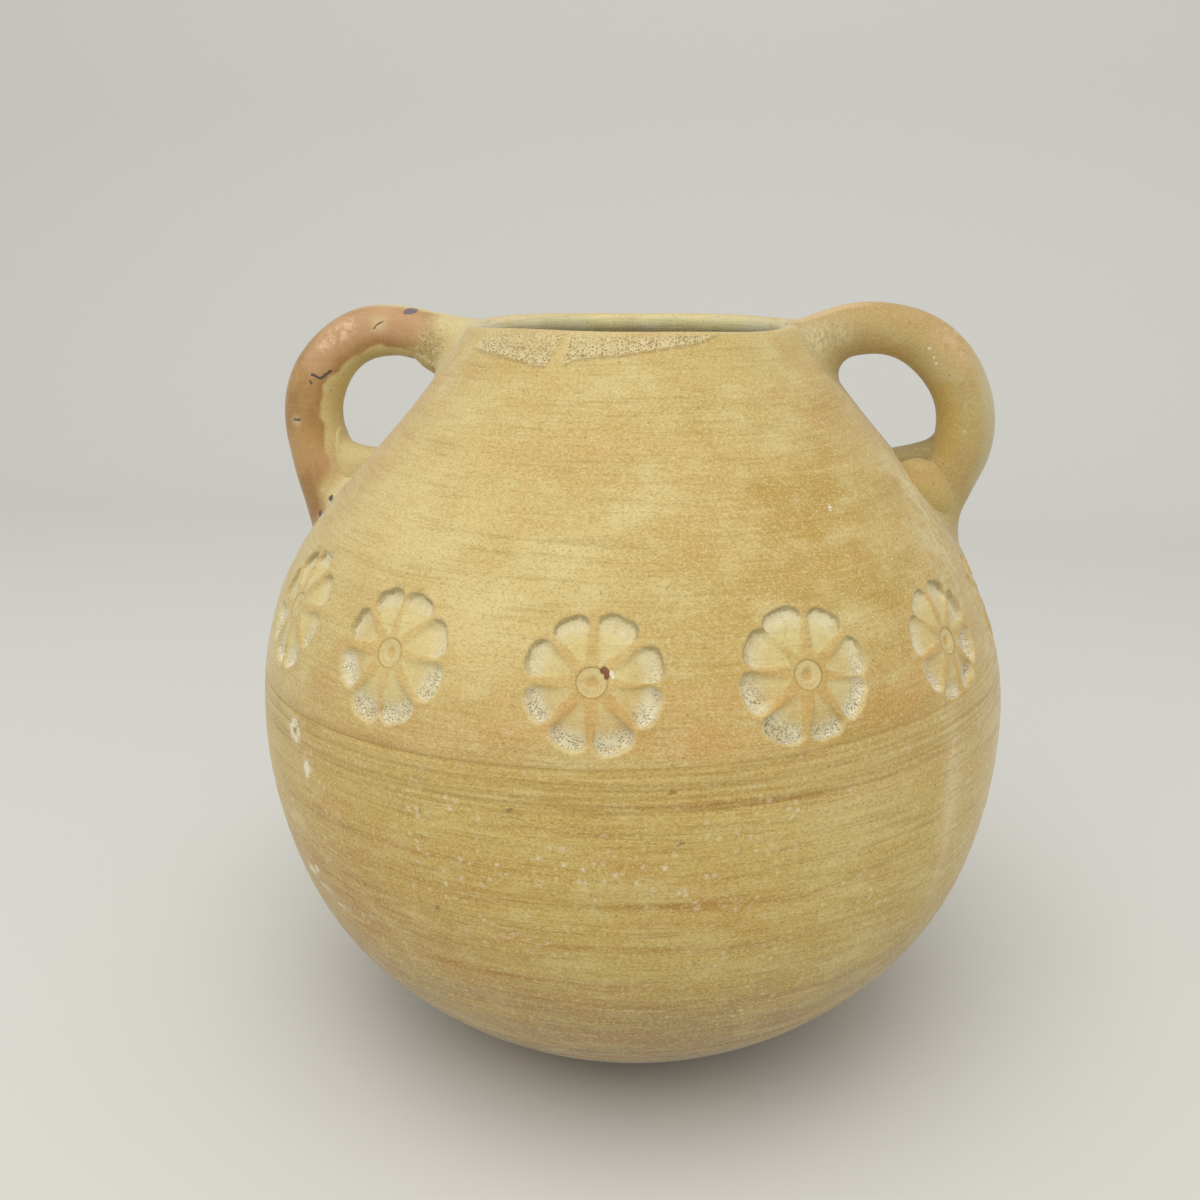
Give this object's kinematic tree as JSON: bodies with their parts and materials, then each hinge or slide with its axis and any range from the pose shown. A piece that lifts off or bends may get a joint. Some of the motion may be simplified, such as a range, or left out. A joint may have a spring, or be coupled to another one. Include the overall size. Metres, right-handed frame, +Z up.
{
  "type": "two-handled olla",
  "caption": "Round unglazed earthenware pot with a narrow mouth, rolled loop handles from rim to shoulder and a band of stamped rosettes, for cooking or storing.",
  "frame": {"origin": "centre of the flat foot, on the surface that the pot stands on", "axes": "+Z up along the pot's axis, X through both handles with the right handle on +X, -Y towards the front"},
  "size_m": [0.165, 0.165, 0.1634],
  "materials": {
    "scraped_clay": "unglazed earthenware, scraped in fine rings, matte",
    "ochre_clay": "unglazed ochre earthenware, wiped smooth, matte",
    "burnished_clay": "unglazed earthenware, rubbed with orange slip, low sheen",
    "handle_clay": "unglazed ochre earthenware, rubbed by hand, low sheen",
    "luting_clay": "unglazed earthenware, smeared and brushed on, matte"
  },
  "bodies": {
    "root": {"lower_bowl": "scraped_clay", "shoulder": "ochre_clay", "rim_coil": "ochre_clay", "left_handle": "burnished_clay", "right_handle": "handle_clay", "left_upper_wad": "luting_clay", "left_lower_wad": "luting_clay", "right_upper_wad": "luting_clay", "right_lower_wad": "luting_clay"}
  },
  "joints": []
}
